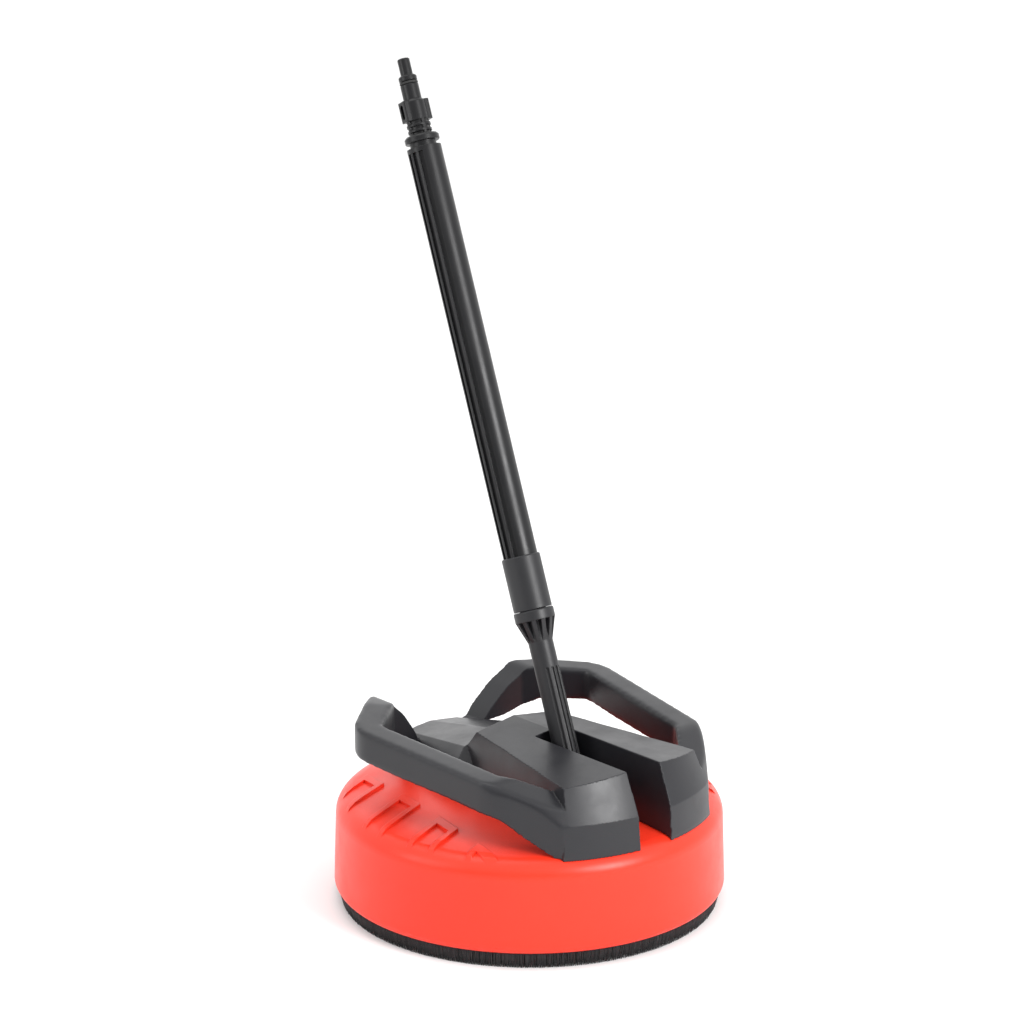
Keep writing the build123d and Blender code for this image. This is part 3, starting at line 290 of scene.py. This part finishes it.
def voxel_copy(node, name):
    """Even, closed copy of a CAD node's mesh as a new object."""
    mesh = NODES[node].data.copy()
    mesh.name = name
    work = bmesh.new()
    work.from_mesh(mesh)
    bmesh.ops.remove_doubles(work, verts=work.verts, dist=WELD)
    work.to_mesh(mesh)
    work.free()
    piece = linked(name, mesh)
    remesh = piece.modifiers.new("voxels", "REMESH")
    remesh.mode = "VOXEL"
    remesh.voxel_size = VOXEL
    remesh.use_smooth_shade = True
    bake(piece)
    return piece


def relax(piece, passes, share):
    """Moves each point towards its neighbours' middle, by a share that depends on its place."""
    mesh = piece.data
    count = len(mesh.vertices)
    points = np.empty(count * 3)
    mesh.vertices.foreach_get("co", points)
    points = points.reshape(-1, 3)
    ends = np.empty(len(mesh.edges) * 2, np.int64)
    mesh.edges.foreach_get("vertices", ends)
    ends = ends.reshape(-1, 2)
    both = np.concatenate((ends[:, 0], ends[:, 1]))
    others = np.concatenate((ends[:, 1], ends[:, 0]))
    valence = np.bincount(both, minlength=count)[:, None]
    weight = share(points)[:, None]
    for _ in range(passes):
        near = points[others]
        total = np.stack([np.bincount(both, near[:, k], count) for k in range(3)], axis=1)
        points += weight * (total / valence - points)
    mesh.vertices.foreach_set("co", points.ravel())
    mesh.update()


def on_loop(points):
    """1 on the hand loops, 0 on the hump and the feet."""
    side = np.clip((np.abs(points[:, 0]) - HUMP_EDGE_X) / LOOP_RAMP_X, 0, 1)
    above = np.clip((points[:, 2] - LOOP_LOW_Z) / LOOP_RAMP_Z, 0, 1)
    return side * above


def cover_share(points):
    """Strong rounding on the hand loops and little on the hump."""
    return HUMP_SHARE + LOOP_MORE_SHARE * on_loop(points)


def keep_facets(piece, node):
    """Takes the CAD mesh's normals wherever the piece wasn't rounded off, so that its facets stay crisp."""
    group = piece.vertex_groups.new(name="hump")
    points = np.array([vertex.co for vertex in piece.data.vertices])
    kept = np.nonzero(on_loop(points) == 0)[0].tolist()
    group.add(kept, 1.0, "REPLACE")
    transfer = piece.modifiers.new("normals", "DATA_TRANSFER")
    transfer.object = NODES[node]
    transfer.use_loop_data = True
    transfer.data_types_loops = {"CUSTOM_NORMAL"}
    transfer.loop_mapping = "POLYINTERP_NEAREST"
    transfer.vertex_group = group.name
    bake(piece)


cover = voxel_copy("top_cover", "cover_shell")
relax(cover, RELAX_PASSES, cover_share)
thin = cover.modifiers.new("thin", "DECIMATE")
thin.ratio = COVER_KEPT
bake(cover)
keep_facets(cover, "top_cover")
dress(cover, "cover_grey")
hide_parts("top_cover")
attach(cover, "base")


# ---------------------------------------------------------------- bristles
SEED = 7
STRAND_R = 0.26 * MM
STRAND_TAPER = 0.2
STRAND_SIDES = 5
STRAND_STEPS = 2
STRAND_ROWS = 6
STRAND_PITCH = 0.85 * MM
TUFT_PITCH = 5.2 * MM
RING_INNER_R = 130.5 * MM
RING_MARGIN = 0.25 * MM
OUTER_BOW = 1.3 * MM
BOW_AT = 0.45
TIP_TURN = 0.8

# how far single strands stray, in millimetres, and along the ring as a share of the pitch
SPLAY = 0.12
LEAN = 0.15
TIP_WEAR = 0.3
TUFT_PULL = 0.12
ROW_STRAY = 0.2
PITCH_STRAY = 0.3


def strand(draw, angle, radius, bow, low, high):
    """Corner points of one bristle, a slim tube that bows outward and turns in at the tip, and its shade."""
    splay = draw.gauss(0, SPLAY) * MM
    lean = draw.gauss(0, LEAN) * MM
    tip = low + draw.random() ** 4 * TIP_WEAR * MM
    levels = ((0.0, 0.0, high), (BOW_AT, bow, (high + tip) / 2), (1.0, -TIP_TURN * bow, tip))
    out = Vector((math.cos(angle), math.sin(angle), 0))
    along = Vector((-math.sin(angle), math.cos(angle), 0))
    points = []
    for share, swell, z in levels:
        middle = out * (radius + swell + splay * share**2) + along * (lean * share**2)
        slim = STRAND_R * (1 - STRAND_TAPER * share)
        for k in range(STRAND_SIDES):
            turn = 2 * math.pi * k / STRAND_SIDES
            point = middle + out * (slim * math.cos(turn)) + along * (slim * math.sin(turn))
            points.append((point.x, point.y, z))
    return points, draw.random()


def strand_faces(first):
    """Sides, tip and root of the bristle whose corner points start at that index."""
    faces = []
    for level in range(STRAND_STEPS):
        for side in range(STRAND_SIDES):
            a = first + level * STRAND_SIDES + side
            b = first + level * STRAND_SIDES + (side + 1) % STRAND_SIDES
            faces.append((a, a + STRAND_SIDES, b + STRAND_SIDES, b))
    last = first + STRAND_STEPS * STRAND_SIDES
    faces.append(tuple(last + side for side in range(STRAND_SIDES))[::-1])
    faces.append(tuple(first + side for side in range(STRAND_SIDES)))
    return faces


def build_bristles():
    """Ring of single bristles in tufts, in place of the CAD ring."""
    draw = random.Random(SEED)
    low_corner, high_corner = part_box("brush_bristles")
    outer = high_corner.x - STRAND_R - RING_MARGIN
    inner = RING_INNER_R + STRAND_R
    around = int(2 * math.pi * outer / STRAND_PITCH)
    tufts = int(2 * math.pi * outer / TUFT_PITCH)
    points, faces, shades = [], [], []
    for row in range(STRAND_ROWS):
        depth = row / (STRAND_ROWS - 1)
        radius = inner + (outer - inner) * depth
        for k in range(around):
            turn = (k + 0.5 * (row % 2) + draw.uniform(-PITCH_STRAY, PITCH_STRAY)) / around
            pull = math.sin(2 * math.pi * turn * tufts) * TUFT_PULL * MM / outer
            angle = 2 * math.pi * turn + pull
            place = radius + draw.uniform(-ROW_STRAY, ROW_STRAY) * MM
            corners, shade = strand(draw, angle, place, OUTER_BOW * depth**3, low_corner.z, high_corner.z)
            faces.extend(strand_faces(len(points)))
            points.extend(corners)
            shades.extend([shade] * len(corners))
    mesh = bpy.data.meshes.new("bristle_strands")
    mesh.from_pydata(points, [], faces)
    mesh.attributes.new("shade", "FLOAT", "POINT").data.foreach_set("value", shades)
    mesh.polygons.foreach_set("use_smooth", [True] * len(mesh.polygons))
    return linked("bristle_strands", mesh)


bristles = build_bristles()
dress(bristles, "bristle_black")
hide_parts("brush_bristles")
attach(bristles, "base")


# ---------------------------------------------------------------- floor, lights and camera
def build_floor():
    """Pale, plain floor."""
    mesh = bpy.data.meshes.new("floor")
    corners = [(x * FLOOR_HALF, y * FLOOR_HALF, 0) for x, y in ((-1, -1), (1, -1), (1, 1), (-1, 1))]
    mesh.from_pydata(corners, [], [(0, 1, 2, 3)])
    floor = linked("floor", mesh)
    tree = Tree("floor_pale")
    soft = tree.noise(0.8, detail=2, roughness=0.5)
    body = tree.blend(tree.spread(soft, 0, 1), *FLOOR_TONES)
    tree.links.new(body, tree.shader.inputs["Base Color"])
    tree.shader.inputs["Roughness"].default_value = 0.7
    tree.shader.inputs["Specular IOR Level"].default_value = 0.1
    mesh.materials.append(tree.material)


def softbox(name, place, target, width, height, watts):
    """Rectangular studio light that faces a point."""
    light = bpy.data.lights.new(name, "AREA")
    light.shape = "RECTANGLE"
    light.size = width
    light.size_y = height
    light.energy = watts
    holder = linked(name, light)
    holder.location = place
    holder.rotation_euler = (Vector(target) - Vector(place)).to_track_quat("-Z", "Y").to_euler()


def build_world(front, back, zenith, zenith_from):
    """White surround with a horizon dim in front of the object and bright behind it.

    The zenith's strength holds above the height zenith_from, the sine of an elevation.
    """
    world = bpy.data.worlds.new("studio")
    world.use_nodes = True
    nodes, links = world.node_tree.nodes, world.node_tree.links
    background = nodes["Background"]
    background.inputs["Color"].default_value = (1.0, 1.0, 1.0, 1.0)
    place = nodes.new("ShaderNodeTexCoord")
    behind = nodes.new("ShaderNodeVectorMath")
    behind.operation = "DOT_PRODUCT"
    behind.inputs[1].default_value = (-math.sin(AZIMUTH), math.cos(AZIMUTH), 0)
    around = nodes.new("ShaderNodeMapRange")
    around.inputs["From Min"].default_value = -1.0
    around.inputs["To Min"].default_value = front
    around.inputs["To Max"].default_value = back
    height = nodes.new("ShaderNodeSeparateXYZ")
    ramp = nodes.new("ShaderNodeMapRange")
    ramp.inputs["From Max"].default_value = zenith_from
    ramp.inputs["To Max"].default_value = zenith
    links.new(place.outputs["Generated"], behind.inputs[0])
    links.new(behind.outputs["Value"], around.inputs["Value"])
    links.new(place.outputs["Generated"], height.inputs["Vector"])
    links.new(height.outputs["Z"], ramp.inputs["Value"])
    links.new(around.outputs["Result"], ramp.inputs["To Min"])
    links.new(ramp.outputs["Result"], background.inputs["Strength"])
    bpy.context.scene.world = world


def build_camera():
    """Camera at the photograph's viewing angle."""
    data = bpy.data.cameras.new("camera")
    data.lens = LENS_MM
    data.sensor_width = SENSOR_MM
    camera = linked("camera", data)
    back = Vector((
        math.sin(AZIMUTH) * math.cos(ELEVATION),
        -math.cos(AZIMUTH) * math.cos(ELEVATION),
        math.sin(ELEVATION),
    ))
    camera.location = AIM + back * CAMERA_DISTANCE
    camera.rotation_mode = "QUATERNION"
    camera.rotation_quaternion = (-back).to_track_quat("-Z", "Y")
    bpy.context.scene.camera = camera


build_floor()
build_world(front=0.05, back=1.6, zenith=1.2, zenith_from=0.7)
softbox("key", (0.25, -1.95, 1.05), (0, 0, 0.15), width=0.8, height=0.8, watts=36)
softbox("left", (-1.9, 0.5, 0.9), (0, 0, 0.1), width=0.8, height=1.0, watts=7)
softbox("top", (-0.3, 0.3, 1.9), (0, 0, 0.1), width=1.0, height=1.0, watts=5)
build_camera()
bpy.context.scene.view_settings.view_transform = "Standard"
